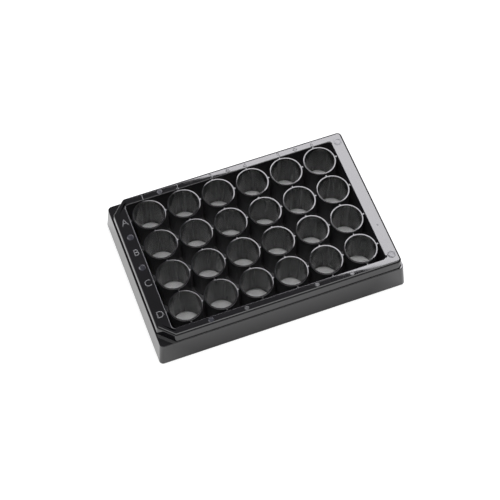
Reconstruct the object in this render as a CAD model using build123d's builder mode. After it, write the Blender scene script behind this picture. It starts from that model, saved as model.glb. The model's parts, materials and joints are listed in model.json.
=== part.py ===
from build123d import *
import os
from math import atan2, degrees

# A multiwell culture plate: one black moulding that holds a grid of open wells, and one clear
# sheet bonded under it as the floor of every well. Millimetres.
# Frame: +Z up. The origin is the middle of the footprint, on the bench. +X runs from column 1 to
# the last column, and +Y from the last row to row A.

# ---- Footprint and heights ----
plate_length = 127.76  # foot of the skirt, along X
plate_width = 85.48  # foot of the skirt, along Y
skirt_height = 14.8  # bench to the ledge that a lid sits on
deck_height = 20.25  # bench to the flat border round the wells
rim_rise = 0.55  # well rims stand this far above the deck

# ---- Skirt, ledge and border wall ----
skirt_lean = 1.35  # the skirt's top stands in from its foot
skirt_corner_radius = 2.1  # the same from the foot to the ledge
ledge_width = 0.55
border_lean = 0.55  # the border wall's top stands in from the ledge
border_corner_radius = 2.7  # the two corners at the last column
corner_cut = 7.5  # legs of the two cut corners beside column 1
cut_edge_radius = 2.2  # softens the ends of each cut
shell_wall = 1.4  # skirt, ledge and border wall
deck_thickness = 1.5
deck_edge_radius = 0.8  # outer top edge of the border

# ---- Well grid ----
columns = 6
rows = 4
well_pitch = 18.0
rim_gap = 1.4  # air between neighbouring rims
rim_wall = 0.75  # tube wall at the rim
bore_taper = 0.45  # a bore is this much smaller in radius at its floor than at its mouth
bore_bow = 0.02  # a bore's side bows outwards this much at half height
rib_thickness = 0.7  # ribs that tie each tube to its neighbours and to the border
rib_drop = 0.1  # rib tops below the deck

# ---- Basin: the sunk space that the tubes stand in ----
end_gap = 1.02  # from the outer rims to the border, along X
side_gap = 0.7  # the same, along Y
basin_corner_radius = 1.5
basin_wall = 1.2
basin_edge_bevel = 0.25  # inner top edge of the border
web_thickness = 1.3  # floor of the basin, between the tubes

# ---- Clear bottom sheet ----
sheet_thickness = 0.8
sheet_lift = 0.45  # bench to the sheet's underside
sheet_clearance = 0.2  # round the sheet, inside its lip
lip_width = 0.6
lip_cover = 0.2  # the lip reaches this far below the sheet

# ---- Gussets under the deck ----
gusset_thickness = 1.0

# ---- Sizes that follow ----
border_angle = degrees(atan2(border_lean, deck_height - skirt_height))
border_length = plate_length - 2 * (skirt_lean + ledge_width)
border_width = plate_width - 2 * (skirt_lean + ledge_width)
ledge_underside = skirt_height - shell_wall
deck_underside = deck_height - deck_thickness

rim_height = deck_height + rim_rise
rim_radius = (well_pitch - rim_gap) / 2
mouth_radius = rim_radius - rim_wall
grid_length = (columns - 1) * well_pitch
grid_width = (rows - 1) * well_pitch

basin_length = grid_length + 2 * (rim_radius + end_gap)
basin_width = grid_width + 2 * (rim_radius + side_gap)
tub_length = basin_length + 2 * basin_wall
tub_width = basin_width + 2 * basin_wall
tub_corner_radius = basin_corner_radius + basin_wall
tub_foot = sheet_lift - lip_cover

web_underside = sheet_lift + sheet_thickness
web_top = web_underside + web_thickness

recess_length = tub_length - 2 * lip_width
recess_width = tub_width - 2 * lip_width
recess_corner_radius = tub_corner_radius - lip_width


def skirt_outline(inset, corner_radius):
    """Plan of the skirt, moved in by inset from its foot."""
    with BuildSketch(mode=Mode.PRIVATE) as outline:
        RectangleRounded(plate_length - 2 * inset, plate_width - 2 * inset, corner_radius)
    return outline.sketch


def border_outline(inset):
    """Plan of the border wall at the ledge, moved in by inset, with the two corners by column 1 cut."""
    with BuildSketch(mode=Mode.PRIVATE) as outline:
        Rectangle(border_length, border_width)
        chamfer(outline.vertices().group_by(Axis.X)[0], corner_cut)
        fillet(outline.vertices().group_by(Axis.X)[-1], border_corner_radius)
        cut_ends = outline.vertices().group_by(Axis.X)[0] + outline.vertices().group_by(Axis.X)[1]
        fillet(cut_ends, cut_edge_radius)
        if inset:
            offset(amount=-inset, mode=Mode.REPLACE)
    return outline.sketch


def well_bore():
    """The space inside one well, on the Z axis: its side tapers, with a slight bow."""
    foot = (mouth_radius - bore_taper, web_underside)
    middle = (mouth_radius - bore_taper / 2 + bore_bow, (web_underside + rim_height) / 2)
    mouth = (mouth_radius, rim_height)
    with BuildPart(mode=Mode.PRIVATE) as bore:
        with BuildSketch(Plane.XZ):
            with BuildLine():
                Polyline(mouth, (0, rim_height), (0, web_underside), foot)
                Bezier(foot, middle, mouth)
            make_face()
        revolve(axis=Axis.Z)
    return bore.part


# ---- Plate body: skirt, ledge, border, basin, ribs and wells in one moulding ----
with BuildPart() as plate_body:
    # Skirt, leaning in from its foot to the ledge
    with BuildSketch():
        add(skirt_outline(0, skirt_corner_radius))
    with BuildSketch(Plane.XY.offset(skirt_height)):
        add(skirt_outline(skirt_lean, skirt_corner_radius))
    loft()

    # Border wall on the ledge, with the flat deck on top
    with BuildSketch(Plane.XY.offset(skirt_height)):
        add(border_outline(0))
    extrude(amount=deck_height - skirt_height, taper=border_angle)
    fillet(plate_body.faces().sort_by(Axis.Z)[-1].edges(), deck_edge_radius)

    # Hollow under the skirt and the deck, one wall in from the outside
    hollow_corner_radius = skirt_corner_radius - shell_wall
    hollow_lean = skirt_lean * ledge_underside / skirt_height
    with BuildSketch():
        add(skirt_outline(shell_wall, hollow_corner_radius))
    with BuildSketch(Plane.XY.offset(ledge_underside)):
        add(skirt_outline(shell_wall + hollow_lean, hollow_corner_radius))
    loft(mode=Mode.SUBTRACT)
    with BuildSketch(Plane.XY.offset(ledge_underside)):
        add(border_outline(shell_wall))
    extrude(amount=deck_underside - ledge_underside, taper=border_angle, mode=Mode.SUBTRACT)

    # Tub that hangs from the deck, down to the lip round the bottom sheet
    with BuildSketch(Plane.XY.offset(tub_foot)):
        RectangleRounded(tub_length, tub_width, tub_corner_radius)
    extrude(amount=deck_underside + deck_thickness / 2 - tub_foot)

    # Gussets from the tub to the border wall, midway between wells
    side_reach = (border_width - shell_wall - tub_width + basin_wall) / 2
    end_reach = (border_length - shell_wall - tub_length + basin_wall) / 2
    with BuildSketch(Plane.XY.offset(ledge_underside)):
        with GridLocations(well_pitch, tub_width - basin_wall + side_reach, columns - 1, 2):
            Rectangle(gusset_thickness, side_reach)
        with GridLocations(tub_length - basin_wall + end_reach, well_pitch, 2, rows - 1):
            Rectangle(end_reach, gusset_thickness)
    extrude(amount=deck_underside + deck_thickness / 2 - ledge_underside)

    # Basin, open at the top, with a bevelled inner edge
    with BuildSketch(Plane.XY.offset(deck_height)):
        RectangleRounded(basin_length, basin_width, basin_corner_radius)
    extrude(amount=web_top - deck_height, mode=Mode.SUBTRACT)
    chamfer(plate_body.faces().sort_by(Axis.Z)[-1].inner_wires().edges(), basin_edge_bevel)

    # Ribs along every row and column, from wall to wall of the basin
    with BuildSketch(Plane.XY.offset(web_top)):
        with GridLocations(well_pitch, well_pitch, 1, rows):
            Rectangle(basin_length + basin_wall, rib_thickness)
        with GridLocations(well_pitch, well_pitch, columns, 1):
            Rectangle(rib_thickness, basin_width + basin_wall)
    extrude(amount=deck_height - rib_drop - web_top)

    # Well tubes, and their bores right through the web
    with BuildSketch(Plane.XY.offset(web_top)):
        with GridLocations(well_pitch, well_pitch, columns, rows):
            Circle(rim_radius)
    extrude(amount=rim_height - web_top)
    with GridLocations(well_pitch, well_pitch, columns, rows):
        add(well_bore(), mode=Mode.SUBTRACT)

    # Recess for the bottom sheet, inside the lip
    with BuildSketch(Plane.XY.offset(tub_foot)):
        RectangleRounded(recess_length, recess_width, recess_corner_radius)
    extrude(amount=web_underside - tub_foot, mode=Mode.SUBTRACT)

plate_body.part.label = "plate_body"

# ---- Bottom sheet: clear, flat, bonded to the underside of the web ----
with BuildPart() as bottom_sheet:
    with BuildSketch(Plane.XY.offset(sheet_lift)):
        RectangleRounded(
            recess_length - 2 * sheet_clearance,
            recess_width - 2 * sheet_clearance,
            recess_corner_radius - sheet_clearance,
        )
    extrude(amount=sheet_thickness)

bottom_sheet.part.label = "bottom_sheet"

os.makedirs("parts", exist_ok=True)
export_step(plate_body.part, "parts/plate_body.step")
export_step(bottom_sheet.part, "parts/bottom_sheet.step")
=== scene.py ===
import json
import math

import bmesh
import bpy
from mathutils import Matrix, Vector


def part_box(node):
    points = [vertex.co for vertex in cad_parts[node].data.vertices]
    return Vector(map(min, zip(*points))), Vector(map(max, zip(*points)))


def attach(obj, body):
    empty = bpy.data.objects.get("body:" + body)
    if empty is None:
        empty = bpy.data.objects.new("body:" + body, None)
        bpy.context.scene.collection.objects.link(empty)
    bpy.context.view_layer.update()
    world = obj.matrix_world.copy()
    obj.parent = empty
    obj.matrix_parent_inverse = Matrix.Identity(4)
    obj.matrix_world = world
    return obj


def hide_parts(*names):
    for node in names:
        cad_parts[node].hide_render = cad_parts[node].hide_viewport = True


# A black culture plate on a white bench. The moulding is lofted through its outlines, its ribs, well
# tubes and gussets are joined to it, and its bores are cut out. Letters, numerals and ejector marks
# stand on its border. Lengths are in metres, and MM turns millimetres into metres.

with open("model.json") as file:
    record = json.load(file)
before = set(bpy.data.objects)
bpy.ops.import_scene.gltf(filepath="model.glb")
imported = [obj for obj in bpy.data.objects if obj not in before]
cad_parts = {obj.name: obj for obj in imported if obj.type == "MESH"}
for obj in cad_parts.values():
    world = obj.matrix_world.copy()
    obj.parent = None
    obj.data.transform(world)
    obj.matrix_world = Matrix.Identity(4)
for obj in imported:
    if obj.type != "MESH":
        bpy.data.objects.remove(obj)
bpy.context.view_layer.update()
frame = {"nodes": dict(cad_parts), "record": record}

MM = 0.001

# ---- Sizes read from the frame ----
body_top_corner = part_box("plate_body")[1]
sheet_low, sheet_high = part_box("bottom_sheet")
mounts = {mount["name"]: Vector(mount["pos_m"]) for mount in frame["record"]["mounts"]}
well_boxes = [opening["box_m"] for opening in frame["record"]["physics"]["openings"]]
PLACE_DIGITS = 6
column_places = sorted({round((low[0] + high[0]) / 2, PLACE_DIGITS) for low, high in well_boxes})
row_places = sorted({round((low[1] + high[1]) / 2, PLACE_DIGITS) for low, high in well_boxes}, reverse=True)
well_pitch = column_places[1] - column_places[0]

half_length = body_top_corner.x
half_width = body_top_corner.y
rim_height = body_top_corner.z
ledge_height = mounts["lid_ledge"].z
web_underside = sheet_high.z

# ---- Skirt, ledge, border and deck ----
rim_rise = 0.55 * MM  # well rims stand this far above the deck
skirt_lean = 1.35 * MM
skirt_corner_radius = 2.1 * MM
ledge_width = 0.55 * MM
ledge_lap = 0.22 * MM  # the skirt's own stretch of the ledge
border_lean = 0.55 * MM
border_corner_radius = 2.7 * MM
corner_cut = 7.5 * MM  # legs of the two cut corners beside column 1
cut_edge_radius = 2.2 * MM
shell_wall = 1.4 * MM
deck_thickness = 1.5 * MM
deck_edge_radius = 1.1 * MM
roll_off = 0.02 * MM  # the deck falls this much towards its outer edge
roll_width = 1.4 * MM
small_rounding = 0.2 * MM
foot_rounding = 0.4 * MM

# ---- Wells ----
rim_gap = 1.4 * MM  # air between neighbouring rims
rim_wall = 0.75 * MM
rim_fall = 0.03 * MM  # a rim falls this much towards its outer edge
rim_edge_radius = 0.12 * MM
mouth_edge_radius = 0.08 * MM
bore_taper = 0.45 * MM
bore_overshoot = 0.4 * MM  # a bore's cutter passes both ends by this much
CROWN_SHARE = 0.55  # part of the rim's wall that slopes

# ---- Basin, ribs, tub and gussets ----
rib_thickness = 0.7 * MM
rib_drop = 0.1 * MM  # rib tops below the deck
rib_sag = 0.06 * MM  # a rib's top dips this much in each gap
end_gap = 1.02 * MM  # outer rims to the border, along X
side_gap = 0.7 * MM  # the same, along Y
basin_corner_radius = 1.5 * MM
basin_wall = 1.2 * MM
basin_edge_radius = 0.6 * MM
web_thickness = 1.3 * MM
lip_width = 0.6 * MM
lip_cover = 0.2 * MM  # the lip reaches this far below the sheet
gusset_thickness = 1.0 * MM

# ---- Sizes that follow ----
deck_height = rim_height - rim_rise
rim_radius = (well_pitch - rim_gap) / 2
mouth_radius = rim_radius - rim_wall
floor_radius = mouth_radius - bore_taper
web_top = web_underside + web_thickness
web_middle = (web_underside + web_top) / 2
tub_foot = sheet_low.z - lip_cover
deck_underside = deck_height - deck_thickness
ledge_underside = ledge_height - shell_wall
skirt_slope = skirt_lean / ledge_height
border_slope = border_lean / (deck_height - ledge_height)
border_half = (half_length - skirt_lean - ledge_width, half_width - skirt_lean - ledge_width)
basin_half = (column_places[-1] + rim_radius + end_gap, row_places[0] + rim_radius + side_gap)
tub_half = (basin_half[0] + basin_wall, basin_half[1] + basin_wall)
recess_half = (tub_half[0] - lip_width, tub_half[1] - lip_width)

# ---- Marks on the border ----
letter_height = 3.6 * MM
numeral_height = 2.8 * MM
letter_rise = 0.16 * MM
letter_edge = 0.06 * MM
CAPITAL_SHARE = 0.69  # height of a capital, as a share of the font's size
letter_x = -57.75 * MM
numeral_y = 37.7 * MM
end_mark_x = 58.0 * MM
front_mark_y = -38.1 * MM
back_mark_y = 37.9 * MM
mark_rise = 0.05 * MM
disc_rise = mark_rise / 3
RING_SHARE = 0.75  # inner edge of a mark's ring, as a share of its radius
DISC_SHARE = 0.65
CENTRE_SHARE = 0.2
small_marks = [(x, front_mark_y, 1.1 * MM) for x in (-18.0 * MM, 18.0 * MM, 36.0 * MM)]
small_marks += [(x, back_mark_y, 1.1 * MM) for x in (0.0, 36.0 * MM)]
wide_marks = [(letter_x, y, 1.7 * MM) for y in (18.0 * MM, 0.0)]
wide_marks += [(-36.0 * MM, y, 1.4 * MM) for y in (front_mark_y, back_mark_y)]
wide_marks += [(end_mark_x, y, 2.1 * MM) for y in (34.8 * MM, -34.8 * MM)]
gate_mark = (end_mark_x, -17.3 * MM, 0.45 * MM)

# ---- Mesh detail ----
CORNER_POINTS = 24
ARC_STEPS = 6
WELL_SEGMENTS = 80
MARK_SEGMENTS = 32
LETTER_BEVEL_STEPS = 2
LETTER_CURVE_STEPS = 6
LEAST_RADIUS = 0.02 * MM
MERGE_DISTANCE = 0.002 * MM
SHARP_ANGLE = math.radians(35)

# ---- Finishes and painted light. Scales are in waves per metre, and tones are linear. ----
DULL_AND_PAINTED_FILL_FACES = "dull_and_painted_fill"
DRAWN_AND_STREAKED_FACES = "drawn_and_streaked"
POLYSTYRENE_IOR = 1.57
FLOW_SCALE = 60.0
GLOSS_SCALE = 180.0
SKIN_SCALE = 500.0
DRAW_AND_STREAK_SCALE = 560.0
GRAIN_SCALE = 900.0
ETCH_SCALE = 1500.0
HAZE_SCALE = 250.0
DRAW_AND_STREAK_STRETCH = (1.0, 1.0, 0.01)
DRAW_AND_STREAK_SPREAD = 0.14
GLOSSY_ROUGHNESS = (0.03, 0.08)
DULL_ROUGHNESS = 0.30  # what the dull faces add
SCORED_ROUGHNESS = 0.15  # what the scores of the draw add
HAZE_ROUGHNESS = (0.02, 0.08)
GLOSSY_TONES = (0.011, 0.011, 0.012, 1.0), (0.017, 0.016, 0.019, 1.0)
# From the deck down to the web the basin's tone lightens: a painted fill light against the shade between the
# tubes.
BASIN_PAINTED_FILL_TONES = (0.035, 0.035, 0.037, 1.0), (0.130, 0.128, 0.135, 1.0)
# The light bore tone forms vertical streaks on the well walls: painted reflections.
BORE_PAINTED_STREAK_TONES = (0.002, 0.002, 0.002, 1.0), (0.050, 0.053, 0.053, 1.0)
BENCH_TONE = (0.62, 0.62, 0.62, 1.0)
SHEET_TONE = (0.95, 0.95, 0.95, 1.0)
SHEET_SHADOW = (0.90, 0.90, 0.90, 1.0)


# ---- Outlines and sections ----
def rounded_polygon(vertices, radii, counts):
    """A convex outline, anticlockwise, with each corner rounded to its radius by its count of points."""
    points = []
    for i, corner in enumerate(vertices):
        before = (corner - vertices[i - 1]).normalized()
        after = (vertices[(i + 1) % len(vertices)] - corner).normalized()
        normal_in = Vector((before.y, -before.x))
        normal_out = Vector((after.y, -after.x))
        radius = max(radii[i], LEAST_RADIUS)
        centre = corner - radius * (normal_in + normal_out) / (1 + normal_in.dot(normal_out))
        start = math.atan2(normal_in.y, normal_in.x)
        turn = -normal_in.angle_signed(normal_out)
        for k in range(counts[i]):
            angle = start + turn * k / (counts[i] - 1)
            points.append(centre + radius * Vector((math.cos(angle), math.sin(angle))))
    return points


def plain_outline(half, radius, inset):
    """A rounded rectangle, moved in by inset."""
    x = half[0] - inset
    y = half[1] - inset
    corners = [Vector((x, y)), Vector((-x, y)), Vector((-x, -y)), Vector((x, -y))]
    return rounded_polygon(corners, [radius - inset] * 4, [CORNER_POINTS] * 4)


def skirt_outline(inset):
    return plain_outline((half_length, half_width), skirt_corner_radius + inset, inset)


def hollow_outline(inset):
    return plain_outline((half_length, half_width), skirt_corner_radius - shell_wall + inset, inset)


def border_outline(inset):
    """The border wall's outline, with the two corners beside column 1 cut at 45 degrees."""
    x = border_half[0] - inset
    y = border_half[1] - inset
    leg = corner_cut - inset * (2 - math.sqrt(2))
    corners = [
        Vector((x, y)),
        Vector((-x + leg, y)),
        Vector((-x, y - leg)),
        Vector((-x, -y + leg)),
        Vector((-x + leg, -y)),
        Vector((x, -y)),
    ]
    round_corner = border_corner_radius - inset
    cut_end = cut_edge_radius - inset
    radii = [round_corner, *[cut_end] * 4, round_corner]
    counts = [CORNER_POINTS, *[CORNER_POINTS // 2] * 4, CORNER_POINTS]
    return rounded_polygon(corners, radii, counts)


def basin_outline(inset):
    return plain_outline(basin_half, basin_corner_radius, inset)


def tub_outline(inset):
    return plain_outline(tub_half, basin_corner_radius + basin_wall, inset)


def recess_outline(inset):
    return plain_outline(recess_half, basin_corner_radius + basin_wall - lip_width, inset)


def rounded_section(corners):
    """A section line of (across, height, radius) corners, with each inner corner rounded by an arc."""
    points = [Vector(corners[0][:2])]
    for before, corner, after in zip(corners, corners[1:], corners[2:]):
        here = Vector(corner[:2])
        to_before = (Vector(before[:2]) - here).normalized()
        to_after = (Vector(after[:2]) - here).normalized()
        half_angle = to_before.angle(to_after) / 2
        reach = corner[2] / math.tan(half_angle)
        centre = here + (to_before + to_after).normalized() * corner[2] / math.sin(half_angle)
        first = here + to_before * reach - centre
        last = here + to_after * reach - centre
        turn = -first.angle_signed(last)
        for k in range(ARC_STEPS + 1):
            cos = math.cos(turn * k / ARC_STEPS)
            sin = math.sin(turn * k / ARC_STEPS)
            points.append(centre + Vector((first.x * cos - first.y * sin, first.x * sin + first.y * cos)))
    points.append(Vector(corners[-1][:2]))
    return points


def bend_radius(fall, run, reach):
    """Radius of the arc that bends a slope of fall over run to the level, within reach of the bend."""
    return reach / math.tan(math.atan2(fall, run) / 2)


# ---- Mesh helpers ----
def new_piece(name, bm, material):
    """Turns bm into an object at the origin, with outward normals and one material."""
    bmesh.ops.recalc_face_normals(bm, faces=bm.faces)
    mesh = bpy.data.meshes.new(name)
    bm.to_mesh(mesh)
    bm.free()
    mesh.materials.append(material)
    piece = bpy.data.objects.new(name, mesh)
    bpy.context.scene.collection.objects.link(piece)
    return piece


def circle_of(bm, radius, height, segments, x=0.0, y=0.0):
    """A level ring of vertices round (x, y)."""
    ring = []
    for k in range(segments):
        angle = 2 * math.pi * k / segments
        ring.append(bm.verts.new((x + radius * math.cos(angle), y + radius * math.sin(angle), height)))
    return ring


def bridge_rings(bm, rings):
    """Joins neighbouring rings of vertices by quads, and closes the first and last ring."""
    for lower, upper in zip(rings, rings[1:]):
        for k in range(len(lower)):
            after = (k + 1) % len(lower)
            bm.faces.new((lower[k], lower[after], upper[after], upper[k]))
    bm.faces.new(rings[0])
    bm.faces.new(rings[-1])


def settle(piece):
    """Replaces the piece's mesh by the result of its modifiers, and removes them."""
    depsgraph = bpy.context.evaluated_depsgraph_get()
    mesh = bpy.data.meshes.new_from_object(piece.evaluated_get(depsgraph))
    piece.modifiers.clear()
    piece.data = mesh
    return piece


def combine(piece, other, operation):
    """Joins other to piece, or cuts it away, and removes other."""
    modifier = piece.modifiers.new(operation, "BOOLEAN")
    modifier.operation = operation
    modifier.solver = "MANIFOLD"
    modifier.object = other
    settle(piece)
    bpy.data.objects.remove(other)


def smooth_faces(piece):
    """Smooth shading that keeps flat faces flat and true edges sharp."""
    piece.data.polygons.foreach_set("use_smooth", [True] * len(piece.data.polygons))
    piece.data.set_sharp_from_angle(angle=SHARP_ANGLE)
    weighted = piece.modifiers.new("weighted", "WEIGHTED_NORMAL")
    weighted.keep_sharp = True
    weighted.weight = 100
    return settle(piece)


def quarter_turn(piece):
    """Turns a piece's mesh from along X to along Y."""
    for vertex in piece.data.vertices:
        vertex.co = Vector((-vertex.co.y, vertex.co.x, vertex.co.z))
    return piece


def grid_of(piece, places_x, places_y, name):
    """Geometry Nodes: a copy of piece at each crossing of a grid, made into one plain mesh."""
    tree = bpy.data.node_groups.new(name, "GeometryNodeTree")
    tree.interface.new_socket("Geometry", in_out="INPUT", socket_type="NodeSocketGeometry")
    inputs = {
        "Columns": ("NodeSocketInt", len(places_x)),
        "Rows": ("NodeSocketInt", len(places_y)),
        "Length": ("NodeSocketFloat", max(places_x) - min(places_x)),
        "Width": ("NodeSocketFloat", max(places_y) - min(places_y)),
        "Material": ("NodeSocketMaterial", piece.data.materials[0]),
    }
    identifiers = {}
    for label, (kind, _) in inputs.items():
        identifiers[label] = tree.interface.new_socket(label, in_out="INPUT", socket_type=kind).identifier
    tree.interface.new_socket("Geometry", in_out="OUTPUT", socket_type="NodeSocketGeometry")

    group_in = tree.nodes.new("NodeGroupInput")
    group_out = tree.nodes.new("NodeGroupOutput")
    grid = tree.nodes.new("GeometryNodeMeshGrid")
    points = tree.nodes.new("GeometryNodeMeshToPoints")
    copies = tree.nodes.new("GeometryNodeInstanceOnPoints")
    realize = tree.nodes.new("GeometryNodeRealizeInstances")
    paint = tree.nodes.new("GeometryNodeSetMaterial")
    tree.links.new(group_in.outputs["Columns"], grid.inputs["Vertices X"])
    tree.links.new(group_in.outputs["Rows"], grid.inputs["Vertices Y"])
    tree.links.new(group_in.outputs["Length"], grid.inputs["Size X"])
    tree.links.new(group_in.outputs["Width"], grid.inputs["Size Y"])
    tree.links.new(grid.outputs["Mesh"], points.inputs["Mesh"])
    tree.links.new(points.outputs["Points"], copies.inputs["Points"])
    tree.links.new(group_in.outputs["Geometry"], copies.inputs["Instance"])
    tree.links.new(copies.outputs["Instances"], realize.inputs["Geometry"])
    tree.links.new(realize.outputs["Geometry"], paint.inputs["Geometry"])
    tree.links.new(group_in.outputs["Material"], paint.inputs["Material"])
    tree.links.new(paint.outputs["Geometry"], group_out.inputs["Geometry"])

    modifier = piece.modifiers.new(name, "NODES")
    modifier.node_group = tree
    for label, (_, value) in inputs.items():
        modifier[identifiers[label]] = value
    return settle(piece)


# ---- Parts of the moulding ----
def make_shell(material):
    """Skirt, ledge, border, basin and tub, as one closed loft through their outlines.

    Each outline's section ends part of the way along the flat that it shares with the next one.
    """
    roll_reach = deck_edge_radius + roll_width / 2
    roll_radius = bend_radius(roll_off, roll_reach, 0.95 * roll_width / 2)
    over = [
        (skirt_outline, [
            (shell_wall / 2, 0.0, 0.0),
            (0.0, 0.0, foot_rounding),
            (skirt_lean, ledge_height, small_rounding),
            (skirt_lean + ledge_lap, ledge_height, 0.0),
        ]),
        (border_outline, [
            (-small_rounding / 2, ledge_height, 0.0),
            (0.0, ledge_height, small_rounding / 3),
            (border_lean, deck_height - roll_off, deck_edge_radius),
            (border_lean + roll_reach, deck_height, roll_radius),
            (border_lean + roll_reach + roll_width / 2, deck_height, 0.0),
        ]),
        (basin_outline, [
            (-3 * basin_edge_radius, deck_height, 0.0),
            (0.0, deck_height, basin_edge_radius),
            (0.0, web_top, small_rounding),
            (2 * small_rounding, web_top, 0.0),
        ]),
    ]
    hollow_top = shell_wall + skirt_slope * ledge_underside
    border_top = shell_wall + border_slope * (deck_underside - ledge_underside)
    under = [
        (hollow_outline, [
            (0.6 * shell_wall, 0.0, 0.0),
            (shell_wall, 0.0, small_rounding),
            (hollow_top, ledge_underside, small_rounding),
            (hollow_top + 2 * small_rounding, ledge_underside, 0.0),
        ]),
        (border_outline, [
            (shell_wall - small_rounding, ledge_underside, 0.0),
            (shell_wall, ledge_underside, 0.6 * small_rounding),
            (border_top, deck_underside, small_rounding),
            (shell_wall + border_lean + 1.5 * small_rounding, deck_underside, 0.0),
        ]),
        (tub_outline, [
            (-1.5 * small_rounding, deck_underside, 0.0),
            (0.0, deck_underside, small_rounding),
            (0.0, tub_foot, small_rounding / 2),
            (lip_width / 2, tub_foot, 0.0),
        ]),
        (recess_outline, [
            (-lip_width / 3, tub_foot, 0.0),
            (0.0, tub_foot, small_rounding / 4),
            (0.0, web_underside, small_rounding / 4),
            (small_rounding, web_underside, 0.0),
        ]),
    ]
    bm = bmesh.new()

    def rings_of(parts):
        rings = []
        for outline, corners in parts:
            for across, height in rounded_section(corners):
                rings.append([bm.verts.new((p.x, p.y, height)) for p in outline(across)])
        return rings

    over_rings = rings_of(over)
    under_rings = rings_of(under)
    bridge_rings(bm, [*reversed(under_rings), *over_rings])
    return new_piece("plate_moulding", bm, material)


def turned_solid(name, section, material):
    """A solid of revolution about Z from a section of (radius, height) points, closed at both ends."""
    bm = bmesh.new()
    bridge_rings(bm, [circle_of(bm, radius, height, WELL_SEGMENTS) for radius, height in section])
    return new_piece(name, bm, material)


def make_tube(material):
    """One well tube, still solid. Its rim slopes outwards a little and has a rounded outer edge."""
    crown = rim_wall * CROWN_SHARE
    crown_radius = bend_radius(rim_fall, crown, 0.9 * crown / 2)
    line = rounded_section([
        (rim_radius, web_middle, 0.0),
        (rim_radius, rim_height - rim_fall * 1.2, rim_edge_radius),
        (rim_radius - crown, rim_height, crown_radius),
        (rim_radius - 1.6 * crown, rim_height, 0.0),
    ])
    return turned_solid("well_tube", line, material)


def make_bore(material):
    """The space inside one well, which flares at the mouth to round the rim's inner edge."""
    slope = bore_taper / (rim_height - web_underside)
    line = [Vector((floor_radius - slope * bore_overshoot, web_underside - bore_overshoot))]
    for k in range(ARC_STEPS + 1):
        angle = math.pi / 2 * k / ARC_STEPS
        line.append(Vector((
            mouth_radius + mouth_edge_radius * (1 - math.cos(angle)),
            rim_height - mouth_edge_radius * (1 - math.sin(angle)),
        )))
    line.append(Vector((mouth_radius + mouth_edge_radius, rim_height + bore_overshoot)))
    return turned_solid("well_bore", line, material)


def make_rib(name, places, half_run, material):
    """A rib along X, centred on Y. Its top dips a little in each gap between the tubes at places."""
    top = deck_height - rib_drop
    ends = [-half_run] + [place + side * rim_radius for place in places for side in (-1, 1)] + [half_run]
    crest = []
    for start, end in zip(ends[0::2], ends[1::2]):
        for k in range(ARC_STEPS + 1):
            share = k / ARC_STEPS
            crest.append((start + (end - start) * share, top - rib_sag * math.sin(math.pi * share)))
    outline = [(-half_run, web_middle)] + crest + [(half_run, web_middle)]
    bm = bmesh.new()
    faces_y = (-rib_thickness / 2, rib_thickness / 2)
    bridge_rings(bm, [[bm.verts.new((x, y, z)) for x, z in outline] for y in faces_y])
    return new_piece(name, bm, material)


def make_gussets(name, axis, places, material):
    """Gussets along one axis, from the tub to the border wall, on both sides of the plate."""
    foot = ledge_underside
    top = deck_underside + deck_thickness / 2
    near = tub_half[axis] - basin_wall / 2
    far = border_half[axis] - shell_wall / 2
    size = [gusset_thickness, gusset_thickness, top - foot]
    size[axis] = far - near
    bm = bmesh.new()
    bmesh.ops.create_cube(bm, size=1.0)
    bmesh.ops.scale(bm, vec=size, verts=bm.verts)
    bmesh.ops.translate(bm, vec=(0.0, 0.0, (foot + top) / 2), verts=bm.verts)
    sides = [-(near + far) / 2, (near + far) / 2]
    spots = (sides, places) if axis == 0 else (places, sides)
    return grid_of(new_piece(name, bm, material), *spots, name)


def make_moulding(material):
    """The whole black moulding: shell, ribs, wells and gussets in one closed mesh."""
    plate = make_shell(material)
    row_rib = make_rib("row_rib", column_places, basin_half[0] + basin_wall / 2, material)
    column_rib = make_rib("column_rib", row_places[::-1], basin_half[1] + basin_wall / 2, material)
    combine(plate, grid_of(row_rib, [0.0], row_places, "row_ribs"), "UNION")
    combine(plate, grid_of(quarter_turn(column_rib), column_places, [0.0], "column_ribs"), "UNION")
    combine(plate, grid_of(make_tube(material), column_places, row_places, "well_tubes"), "UNION")
    combine(plate, grid_of(make_bore(material), column_places, row_places, "well_bores"), "DIFFERENCE")
    between_columns = [(left + right) / 2 for left, right in zip(column_places, column_places[1:])]
    between_rows = [(back + front) / 2 for back, front in zip(row_places, row_places[1:])]
    combine(plate, make_gussets("side_gussets", 1, between_columns, material), "UNION")
    combine(plate, make_gussets("end_gussets", 0, between_rows, material), "UNION")
    return smooth_faces(plate)


def mark_finishes_and_painted_light(plate):
    """Marks the dull faces of the basin, outside the wells, which also get a painted fill, and the drawn
    walls inside the wells, which also get painted streaks of reflection.
    """
    margin = 0.01 * MM
    steep = 0.5
    wall_middle = rim_radius - rim_wall / 2
    dull_and_painted_fill = plate.data.attributes.new(DULL_AND_PAINTED_FILL_FACES, "FLOAT", "FACE")
    drawn_and_streaked = plate.data.attributes.new(DRAWN_AND_STREAKED_FACES, "FLOAT", "FACE")
    for face, dull_and_painted_fill_mark, drawn_and_streaked_mark in zip(plate.data.polygons, dull_and_painted_fill.data, drawn_and_streaked.data):
        x, y, height = face.center
        from_column = min(abs(x - place) for place in column_places)
        from_row = min(abs(y - place) for place in row_places)
        inside_well = math.hypot(from_column, from_row) < wall_middle
        in_basin = abs(x) < basin_half[0] + margin and abs(y) < basin_half[1] + margin
        below_edge = web_underside < height < deck_height - basin_edge_radius
        dull_and_painted_fill_mark.value = float(in_basin and below_edge and not inside_well)
        drawn_and_streaked_mark.value = float(inside_well and abs(face.normal.z) < steep)


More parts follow.
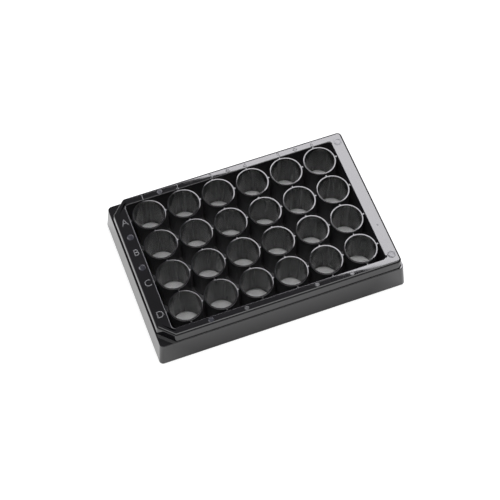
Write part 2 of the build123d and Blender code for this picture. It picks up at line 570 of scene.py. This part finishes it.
# ---- Marks on the border ----
def make_lettering(name, labels, material):
    """Raised letters or numerals as one mesh. labels holds (text, x, y, height)."""
    bm = bmesh.new()
    for text, x, y, height in labels:
        curve = bpy.data.curves.new(name, "FONT")
        curve.body = text
        curve.size = height / CAPITAL_SHARE
        curve.align_x = "CENTER"
        curve.offset = -letter_edge
        curve.extrude = letter_rise / 2
        curve.bevel_depth = letter_edge
        curve.bevel_resolution = LETTER_BEVEL_STEPS
        curve.resolution_u = LETTER_CURVE_STEPS
        stamp = bpy.data.objects.new(name, curve)
        bpy.context.scene.collection.objects.link(stamp)
        depsgraph = bpy.context.evaluated_depsgraph_get()
        mesh = bpy.data.meshes.new_from_object(stamp.evaluated_get(depsgraph))
        for vertex in mesh.vertices:
            vertex.co += Vector((x, y - height / 2, deck_height))
        bm.from_mesh(mesh)
        bpy.data.objects.remove(stamp)
    bmesh.ops.remove_doubles(bm, verts=bm.verts, dist=MERGE_DISTANCE)
    return smooth_faces(new_piece(name, bm, material))


def make_ejector_marks(name, places, material):
    """Round marks of the mould's ejector pins: low discs, each with a fine raised ring."""
    bm = bmesh.new()
    for x, y, radius in places:
        section = rounded_section([
            (radius, deck_height - mark_rise, 0.0),
            (radius, deck_height + mark_rise, mark_rise),
            (radius * RING_SHARE, deck_height + mark_rise, mark_rise),
            (radius * DISC_SHARE, deck_height + disc_rise, mark_rise),
            (radius * CENTRE_SHARE, deck_height + disc_rise, 0.0),
        ])
        bridge_rings(bm, [circle_of(bm, across, height, MARK_SEGMENTS, x, y) for across, height in section])
    return smooth_faces(new_piece(name, bm, material))


# ---- Material helpers ----
def node_material(name):
    """A new node material: its node tree and its Principled shader."""
    material = bpy.data.materials.new(name)
    material.use_nodes = True
    return material, material.node_tree, material.node_tree.nodes["Principled BSDF"]


def object_noise(tree, scale, detail, stretch=(1.0, 1.0, 1.0)):
    """Noise on Object coordinates, drawn out along the axes by stretch. Returns its 0 to 1 value."""
    place = tree.nodes.new("ShaderNodeTexCoord")
    mapping = tree.nodes.new("ShaderNodeMapping")
    noise = tree.nodes.new("ShaderNodeTexNoise")
    mapping.inputs["Scale"].default_value = stretch
    noise.inputs["Scale"].default_value = scale
    noise.inputs["Detail"].default_value = detail
    tree.links.new(place.outputs["Object"], mapping.inputs["Vector"])
    tree.links.new(mapping.outputs["Vector"], noise.inputs["Vector"])
    return noise.outputs["Fac"]


def coordinate(tree, kind, axis):
    """One axis of a texture coordinate."""
    place = tree.nodes.new("ShaderNodeTexCoord")
    parts = tree.nodes.new("ShaderNodeSeparateXYZ")
    tree.links.new(place.outputs[kind], parts.inputs["Vector"])
    return parts.outputs[axis]


def face_mark(tree, name):
    """The value of a face attribute."""
    mark = tree.nodes.new("ShaderNodeAttribute")
    mark.attribute_name = name
    return mark.outputs["Fac"]


def mapped(tree, value, source, target, kind="LINEAR"):
    """Maps a value from the source range to the target range, and holds it at their ends."""
    node = tree.nodes.new("ShaderNodeMapRange")
    node.interpolation_type = kind
    for label, number in zip(("From Min", "From Max", "To Min", "To Max"), (*source, *target)):
        node.inputs[label].default_value = number
    tree.links.new(value, node.inputs["Value"])
    return node.outputs["Result"]


def ranged(tree, noise, low, high, spread=0.25):
    """Maps the middle of a noise value's range onto low to high."""
    return mapped(tree, noise, (0.5 - spread, 0.5 + spread), (low, high))


def blended(tree, share, first, second):
    """Mixes two colours, given as values or as node outputs, by a 0 to 1 share."""
    mix = tree.nodes.new("ShaderNodeMix")
    mix.data_type = "RGBA"
    tree.links.new(share, mix.inputs[0])
    for socket, colour in ((mix.inputs[6], first), (mix.inputs[7], second)):
        if isinstance(colour, tuple):
            socket.default_value = colour
        else:
            tree.links.new(colour, socket)
    return mix.outputs[2]


def calculated(tree, operation, *values):
    """A Math node on values, each a number or a node output. Returns its result."""
    node = tree.nodes.new("ShaderNodeMath")
    node.operation = operation
    for socket, value in zip(node.inputs, values):
        if isinstance(value, float):
            socket.default_value = value
        else:
            tree.links.new(value, socket)
    return node.outputs[0]


def bump_node(tree, height, strength, distance):
    """A Bump node of that height, for its Normal input and output."""
    bump = tree.nodes.new("ShaderNodeBump")
    bump.inputs["Strength"].default_value = strength
    bump.inputs["Distance"].default_value = distance
    tree.links.new(height, bump.inputs["Height"])
    return bump


# ---- Materials ----
def black_polystyrene():
    """Black moulded plastic: glossy with flow marks, dull in the basin under a painted fill that lightens
    with depth, scored by the draw in the wells and painted there with streaks of reflection.
    """
    material, tree, shader = node_material("black_polystyrene")
    dull_and_painted_fill = face_mark(tree, DULL_AND_PAINTED_FILL_FACES)
    drawn_and_streaked = face_mark(tree, DRAWN_AND_STREAKED_FACES)
    # The basin's tone lightens with depth below the deck: a painted fill light where little light reaches.
    painted_fill_depth = mapped(tree, coordinate(tree, "Object", "Z"), (deck_height, web_top), (0.0, 1.0))
    flow = ranged(tree, object_noise(tree, FLOW_SCALE, 3.0), 0.0, 1.0)
    # The same stretched noise scores the well walls and paints light streaks of reflection on them.
    scores_and_painted_streaks = ranged(tree, object_noise(tree, DRAW_AND_STREAK_SCALE, 3.0, DRAW_AND_STREAK_STRETCH), 0.0, 1.0, DRAW_AND_STREAK_SPREAD)
    outside_tone = blended(tree, dull_and_painted_fill, blended(tree, flow, *GLOSSY_TONES), blended(tree, painted_fill_depth, *BASIN_PAINTED_FILL_TONES))
    tone = blended(tree, drawn_and_streaked, outside_tone, blended(tree, scores_and_painted_streaks, *BORE_PAINTED_STREAK_TONES))
    tree.links.new(tone, shader.inputs["Base Color"])

    gloss = ranged(tree, object_noise(tree, GLOSS_SCALE, 4.0), *GLOSSY_ROUGHNESS)
    scored = calculated(tree, "MULTIPLY", drawn_and_streaked, scores_and_painted_streaks)
    roughness = calculated(tree, "MULTIPLY_ADD", dull_and_painted_fill, DULL_ROUGHNESS, gloss)
    roughness = calculated(tree, "MULTIPLY_ADD", scored, SCORED_ROUGHNESS, roughness)
    tree.links.new(roughness, shader.inputs["Roughness"])

    skin = bump_node(tree, object_noise(tree, SKIN_SCALE, 2.0), strength=0.05, distance=0.02 * MM)
    scores = bump_node(tree, scored, strength=0.6, distance=0.10 * MM)
    tree.links.new(skin.outputs["Normal"], scores.inputs["Normal"])
    tree.links.new(scores.outputs["Normal"], shader.inputs["Normal"])
    shader.inputs["IOR"].default_value = POLYSTYRENE_IOR
    return material


def matt_black(name, tones, roughnesses, blue_share):
    """The same plastic with a finely etch-textured face: its grain varies the tone and the roughness. Its
    tones are lighter than the moulding's: a painted sheen in place of the highlights that raised marks catch.
    """
    material, tree, shader = node_material(name)
    grain = ranged(tree, object_noise(tree, GRAIN_SCALE, 3.0), 0.0, 1.0)
    dark, light = [(tone, tone, tone * blue_share, 1.0) for tone in tones]
    roughness = ranged(tree, object_noise(tree, ETCH_SCALE, 2.0), *roughnesses)
    tree.links.new(blended(tree, grain, dark, light), shader.inputs["Base Color"])
    tree.links.new(roughness, shader.inputs["Roughness"])
    shader.inputs["IOR"].default_value = POLYSTYRENE_IOR
    return material


def clear_polystyrene():
    """Clear sheet: light from the lamps passes straight through it, and its faces carry a faint haze."""
    material, tree, shader = node_material("clear_polystyrene")
    shader.inputs["Base Color"].default_value = SHEET_TONE
    shader.inputs["IOR"].default_value = POLYSTYRENE_IOR
    shader.inputs["Transmission Weight"].default_value = 1.0
    haze = ranged(tree, object_noise(tree, HAZE_SCALE, 3.0), *HAZE_ROUGHNESS)
    tree.links.new(haze, shader.inputs["Roughness"])
    rays = tree.nodes.new("ShaderNodeLightPath")
    open_way = tree.nodes.new("ShaderNodeBsdfTransparent")
    open_way.inputs["Color"].default_value = SHEET_SHADOW
    mix = tree.nodes.new("ShaderNodeMixShader")
    tree.links.new(rays.outputs["Is Shadow Ray"], mix.inputs[0])
    tree.links.new(shader.outputs["BSDF"], mix.inputs[1])
    tree.links.new(open_way.outputs["BSDF"], mix.inputs[2])
    tree.links.new(mix.outputs["Shader"], tree.nodes["Material Output"].inputs["Surface"])
    return material


def bench_white():
    """The white bench. It keeps faint shadows, reads as white to the eye, and is dimmer in reflections,
    dimmest near the plate, where a contact shadow is painted into its glow.
    """
    material, tree, shader = node_material("bench_white")
    diffuse = tree.nodes.new("ShaderNodeBsdfDiffuse")
    diffuse.inputs["Color"].default_value = BENCH_TONE
    seen_glow = 0.75
    far_glow = 0.67
    away_x = calculated(tree, "ABSOLUTE", coordinate(tree, "Object", "X"))
    away_y = calculated(tree, "ABSOLUTE", coordinate(tree, "Object", "Y"))
    # Near the plate the glow seen in reflections falls to about a fifth: a painted contact shadow on the
    # bench.
    painted_shadow_glow_x = mapped(tree, away_x, (44.0 * MM, 64.0 * MM), (0.20, far_glow))
    painted_shadow_glow_y = mapped(tree, away_y, (43.0 * MM, 58.0 * MM), (0.17, far_glow))
    rays = tree.nodes.new("ShaderNodeLightPath").outputs
    mirrored = calculated(tree, "SUBTRACT", rays["Is Glossy Ray"], rays["Is Transmission Ray"])
    mirrored = calculated(tree, "MULTIPLY", mirrored, calculated(tree, "MAXIMUM", painted_shadow_glow_x, painted_shadow_glow_y))
    seen = calculated(tree, "MULTIPLY", rays["Is Camera Ray"], seen_glow)
    glow = tree.nodes.new("ShaderNodeEmission")
    tree.links.new(calculated(tree, "MAXIMUM", seen, mirrored), glow.inputs["Strength"])
    both = tree.nodes.new("ShaderNodeAddShader")
    tree.links.new(diffuse.outputs["BSDF"], both.inputs[0])
    tree.links.new(glow.outputs["Emission"], both.inputs[1])
    tree.links.new(both.outputs["Shader"], tree.nodes["Material Output"].inputs["Surface"])
    tree.nodes.remove(shader)
    return material


# ---- Studio ----
def make_bench(reach):
    """A level bench that the plate stands on."""
    bm = bmesh.new()
    bmesh.ops.create_grid(bm, x_segments=1, y_segments=1, size=reach)
    return new_piece("bench", bm, bench_white())


def softbox(name, place, turn, size, radiance, colour=(1.0, 1.0, 1.0)):
    """A level rectangular lamp that shines down, turned about Z, whose face has the given brightness."""
    data = bpy.data.lights.new(name, "AREA")
    data.shape = "RECTANGLE"
    data.size, data.size_y = size
    data.energy = radiance * math.pi * size[0] * size[1]
    data.color = colour
    lamp = bpy.data.objects.new(name, data)
    lamp.location = place
    lamp.rotation_euler = (0.0, 0.0, turn)
    bpy.context.scene.collection.objects.link(lamp)


def make_sky():
    """A dim studio overhead, which brightens to white at the horizon."""
    world = bpy.data.worlds.new("studio")
    world.use_nodes = True
    tree = world.node_tree
    height = coordinate(tree, "Generated", "Z")
    strength = mapped(tree, height, (0.03, 0.16), (1.0, 0.12), "SMOOTHSTEP")
    tree.links.new(strength, tree.nodes["Background"].inputs["Strength"])
    tree.nodes["Background"].inputs["Color"].default_value = (1.0, 1.0, 1.0, 1.0)
    bpy.context.scene.world = world


def make_camera(azimuth, elevation, distance, target, sensor_width, lens):
    """A camera at that azimuth, elevation and distance from its target."""
    back = Vector((
        math.sin(azimuth) * math.cos(elevation),
        -math.cos(azimuth) * math.cos(elevation),
        math.sin(elevation),
    ))
    data = bpy.data.cameras.new("camera")
    data.sensor_width = sensor_width
    data.lens = lens
    camera = bpy.data.objects.new("camera", data)
    camera.location = target + back * distance
    camera.rotation_euler = (-back).to_track_quat("-Z", "Y").to_euler()
    bpy.context.scene.collection.objects.link(camera)
    bpy.context.scene.camera = camera


# ---- The plate ----
plate = make_moulding(black_polystyrene())
mark_finishes_and_painted_light(plate)
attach(plate, "root")
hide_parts("plate_body")

# The letters and numerals get a light grey tone: a painted sheen in place of the highlights on their strokes.
etched_painted_sheen = matt_black("etched_painted_sheen_black", tones=(0.13, 0.18), roughnesses=(0.18, 0.30), blue_share=1.06)
# The ejector marks are lighter than the deck, a painted sheen: the small front and back marks get the
# brighter copy, the wide marks and the gate mark the dimmer one, by how the light falls on them.
mark_bright_painted_sheen = matt_black("mark_bright_painted_sheen_black", tones=(0.060, 0.085), roughnesses=(0.16, 0.26), blue_share=1.06)
mark_dim_painted_sheen = matt_black("mark_dim_painted_sheen_black", tones=(0.030, 0.045), roughnesses=(0.10, 0.17), blue_share=1.3)
row_labels = [(chr(ord("A") + i), letter_x, y, letter_height) for i, y in enumerate(row_places)]
column_labels = [(str(i + 1), x, numeral_y, numeral_height) for i, x in enumerate(column_places)]
for piece in (
    make_lettering("row_letters", row_labels, etched_painted_sheen),
    make_lettering("column_numerals", column_labels, etched_painted_sheen),
    make_ejector_marks("small_ejector_marks", small_marks, mark_bright_painted_sheen),
    make_ejector_marks("wide_ejector_marks", wide_marks, mark_dim_painted_sheen),
    make_ejector_marks("gate_mark", [gate_mark], mark_dim_painted_sheen),
):
    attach(piece, "root")

sheet = frame["nodes"]["bottom_sheet"]
sheet.data.materials.clear()
sheet.data.materials.append(clear_polystyrene())

# ---- Bench, light and camera ----
bench = make_bench(reach=3.0)
softbox("top_softbox", place=(-0.05, -0.10, 1.2), turn=0.0, size=(1.0, 0.85), radiance=2.7)
softbox(
    "back_softbox",
    place=(0.427, 0.654, 1.02),
    turn=math.radians(-56.15),
    size=(0.63, 0.413),
    radiance=10.0,
    colour=(0.97, 0.96, 1.0),
)
make_sky()
make_camera(
    azimuth=math.radians(-20.40),
    elevation=math.radians(60.19),
    distance=757.6 * MM,
    target=Vector((-3.48 * MM, -3.44 * MM, 10.12 * MM)),
    sensor_width=36.0,
    lens=110.73,
)
bpy.context.scene.view_settings.view_transform = "Standard"
